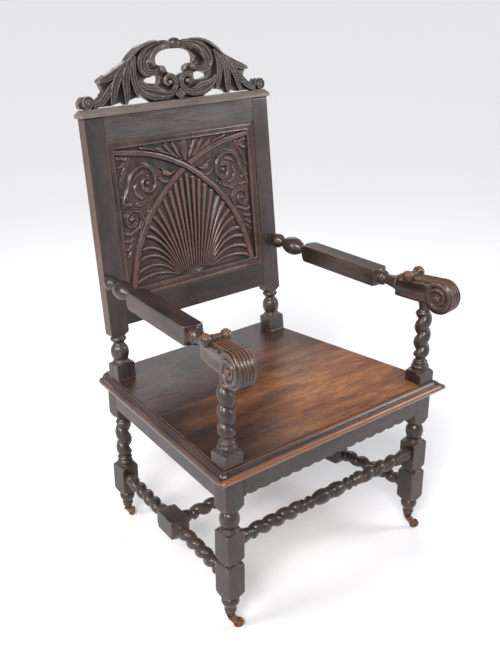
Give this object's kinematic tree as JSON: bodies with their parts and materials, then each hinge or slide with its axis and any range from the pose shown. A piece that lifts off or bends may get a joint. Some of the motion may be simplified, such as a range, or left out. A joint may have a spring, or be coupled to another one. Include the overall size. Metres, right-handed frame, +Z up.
{
  "type": "throne armchair",
  "caption": "High-backed carved throne armchair with a fan-carved panel, pierced crest, scrolled arms, barley-twist under-frame and small casters.",
  "frame": {"origin": "middle of the chair's plan, at floor level", "axes": "+Z up, the seat's front faces -Y, +X to the viewer's right"},
  "size_m": [0.757, 0.7197, 1.3081],
  "materials": {
    "dark_oak": "near-black waxed oak with a soft grey sheen",
    "rubbed_oak": "dark waxed oak rubbed to red-brown on its edges",
    "seat_oak": "polished warm brown oak, worn lighter where it is sat on",
    "old_brass": "tarnished brass",
    "wheel_brass": "tarnished coppery brass"
  },
  "bodies": {
    "chair": {"seat_board_front": "seat_oak", "seat_board_rear": "seat_oak", "arm_left": "rubbed_oak", "arm_right": "rubbed_oak", "seat_moulding_front": "rubbed_oak", "seat_moulding_left": "rubbed_oak", "seat_moulding_right": "rubbed_oak", "apron_front": "dark_oak", "side_rail_left": "dark_oak", "side_rail_right": "dark_oak", "back_seat_rail": "dark_oak", "front_leg_left": "dark_oak", "front_leg_right": "dark_oak", "rear_leg_left": "dark_oak", "rear_leg_right": "dark_oak", "front_stretcher": "dark_oak", "side_stretcher_left": "dark_oak", "side_stretcher_right": "dark_oak", "cross_stretcher": "dark_oak", "back_post_left": "dark_oak", "back_post_right": "dark_oak", "back_top_rail": "dark_oak", "back_bottom_rail": "dark_oak", "back_panel": "dark_oak", "crest_cap": "dark_oak", "crest": "dark_oak", "arm_support_left": "dark_oak", "arm_support_right": "dark_oak", "caster_plate_front_left": "old_brass", "caster_plate_front_right": "old_brass", "caster_plate_rear_left": "old_brass", "caster_plate_rear_right": "old_brass"},
    "horn_front_left": {"caster_horn_front_left": "old_brass"},
    "wheel_front_left": {"caster_wheel_front_left": "wheel_brass"},
    "horn_front_right": {"caster_horn_front_right": "old_brass"},
    "wheel_front_right": {"caster_wheel_front_right": "wheel_brass"},
    "horn_rear_left": {"caster_horn_rear_left": "old_brass"},
    "wheel_rear_left": {"caster_wheel_rear_left": "wheel_brass"},
    "horn_rear_right": {"caster_horn_rear_right": "old_brass"},
    "wheel_rear_right": {"caster_wheel_rear_right": "wheel_brass"}
  },
  "joints": [
    {"name": "swivel_front_left", "type": "hinge", "parent": "chair", "child": "horn_front_left", "pos_m": [-0.3207, -0.2693, 0.03], "axis": [0, 0, 1], "continuous": true},
    {"name": "roll_front_left", "type": "hinge", "parent": "horn_front_left", "child": "wheel_front_left", "pos_m": [-0.30229, -0.27712, 0.0135], "axis": [0.3907, 0.9205, 0], "continuous": true},
    {"name": "swivel_front_right", "type": "hinge", "parent": "chair", "child": "horn_front_right", "pos_m": [0.3207, -0.2693, 0.03], "axis": [0, 0, 1], "continuous": true},
    {"name": "roll_front_right", "type": "hinge", "parent": "horn_front_right", "child": "wheel_front_right", "pos_m": [0.33747, -0.28019, 0.0135], "axis": [0.5446, 0.8387, 0], "continuous": true},
    {"name": "swivel_rear_left", "type": "hinge", "parent": "chair", "child": "horn_rear_left", "pos_m": [-0.257, 0.2792, 0.03], "axis": [0, 0, 1], "continuous": true},
    {"name": "roll_rear_left", "type": "hinge", "parent": "horn_rear_left", "child": "wheel_rear_left", "pos_m": [-0.23934, 0.28859, 0.0135], "axis": [-0.4695, 0.8829, 0], "continuous": true},
    {"name": "swivel_rear_right", "type": "hinge", "parent": "chair", "child": "horn_rear_right", "pos_m": [0.257, 0.2792, 0.03], "axis": [0, 0, 1], "continuous": true},
    {"name": "roll_rear_right", "type": "hinge", "parent": "horn_rear_right", "child": "wheel_rear_right", "pos_m": [0.27681, 0.28198, 0.0135], "axis": [-0.1392, 0.9903, 0], "continuous": true}
  ]
}
